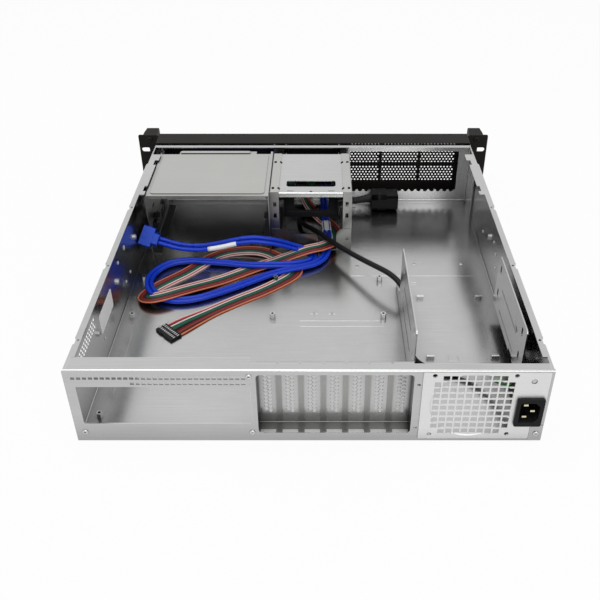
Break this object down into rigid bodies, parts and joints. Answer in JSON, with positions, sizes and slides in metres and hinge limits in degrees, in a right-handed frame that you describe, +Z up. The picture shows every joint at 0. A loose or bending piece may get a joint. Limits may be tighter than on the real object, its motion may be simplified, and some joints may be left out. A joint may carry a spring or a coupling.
{
  "type": "rackmount server case",
  "caption": "Empty short-depth rackmount server case with its lid off: steel tray, drive cages, slot covers, vented rear, front handles and loose front-panel cables.",
  "frame": {"origin": "middle of the whole case in plan, on the plane that it stands on", "axes": "+Z up out of the open top, +Y to the rear wall, -Y to the front bezel and handles, +X to the connector-window side (right seen from the front)"},
  "size_m": [0.4826, 0.5192, 0.0881],
  "materials": {
    "zinc_steel": "satin zinc-coated steel sheet",
    "screw_steel": "bright zinc plate",
    "black_paint": "fine-textured powder coat",
    "black_plastic": "moulded, fine grain",
    "tray_paint": "satin black coat",
    "board": "solder mask over glass-filled board",
    "post_metal": "plated brass",
    "lens": "clear diffused resin",
    "contact_metal": "plated contact",
    "rubber_black": "soft satin",
    "cord_black": "satin cord jacket",
    "cable_blue": "satin cable jacket",
    "plug_blue": "moulded, satin",
    "ribbon_wires": "row of coloured wire jackets",
    "earth_jacket": "green wire jacket with a yellow stripe"
  },
  "bodies": {
    "chassis": {"ac_inlet": "black_plastic", "base_pan": "zinc_steel", "bay_blank_centre": "black_plastic", "bay_blank_large": "black_plastic", "board_headers": "black_plastic", "board_posts": "post_metal", "board_screws": "screw_steel", "bracket_screws": "screw_steel", "centre_cover": "zinc_steel", "centre_plate_left": "zinc_steel", "centre_plate_right": "zinc_steel", "control_board": "board", "corner_tab": "zinc_steel", "drive_tray": "tray_paint", "ear_left": "black_paint", "ear_right": "black_paint", "ear_screws": "screw_steel", "earth_stud": "screw_steel", "earth_wire": "earth_jacket", "fan_plate": "zinc_steel", "foot_bracket": "zinc_steel", "front_bezel": "black_paint", "front_wall": "zinc_steel", "handle_left": "black_paint", "handle_right": "black_paint", "handle_screws": "screw_steel", "inlet_boot": "rubber_black", "inlet_pins": "contact_metal", "large_cage": "zinc_steel", "led_lights": "lens", "panel_plug": "black_plastic", "panel_ribbon": "ribbon_wires", "plug_relief": "rubber_black", "power_cord": "cord_black", "power_plug": "black_plastic", "psu_bracket_left": "zinc_steel", "psu_bracket_right": "zinc_steel", "push_switches": "black_plastic", "rail_nuts": "screw_steel", "rear_panel": "zinc_steel", "rear_screws": "screw_steel", "ring_terminal": "screw_steel", "slot_cover_1": "zinc_steel", "slot_cover_2": "zinc_steel", "slot_cover_3": "zinc_steel", "slot_cover_4": "zinc_steel", "slot_cover_5": "zinc_steel", "slot_cover_6": "zinc_steel", "slot_cover_7": "zinc_steel", "slot_frame": "zinc_steel", "slot_screws": "screw_steel", "standoffs": "screw_steel", "usb_cable": "cable_blue", "usb_plug": "plug_blue", "usb_shells": "screw_steel", "usb_tongues": "black_plastic", "vent_mesh": "black_paint"},
    "power_button": {"power_button": "black_plastic"},
    "reset_button": {"reset_button": "black_plastic"}
  },
  "joints": [
    {"name": "power_button_press", "type": "slide", "parent": "chassis", "child": "power_button", "axis": [0, 1, 0], "range_m": [0, 0.0015], "stiffness_N_per_m": 900},
    {"name": "reset_button_press", "type": "slide", "parent": "chassis", "child": "reset_button", "axis": [0, 1, 0], "range_m": [0, 0.001], "stiffness_N_per_m": 900}
  ]
}
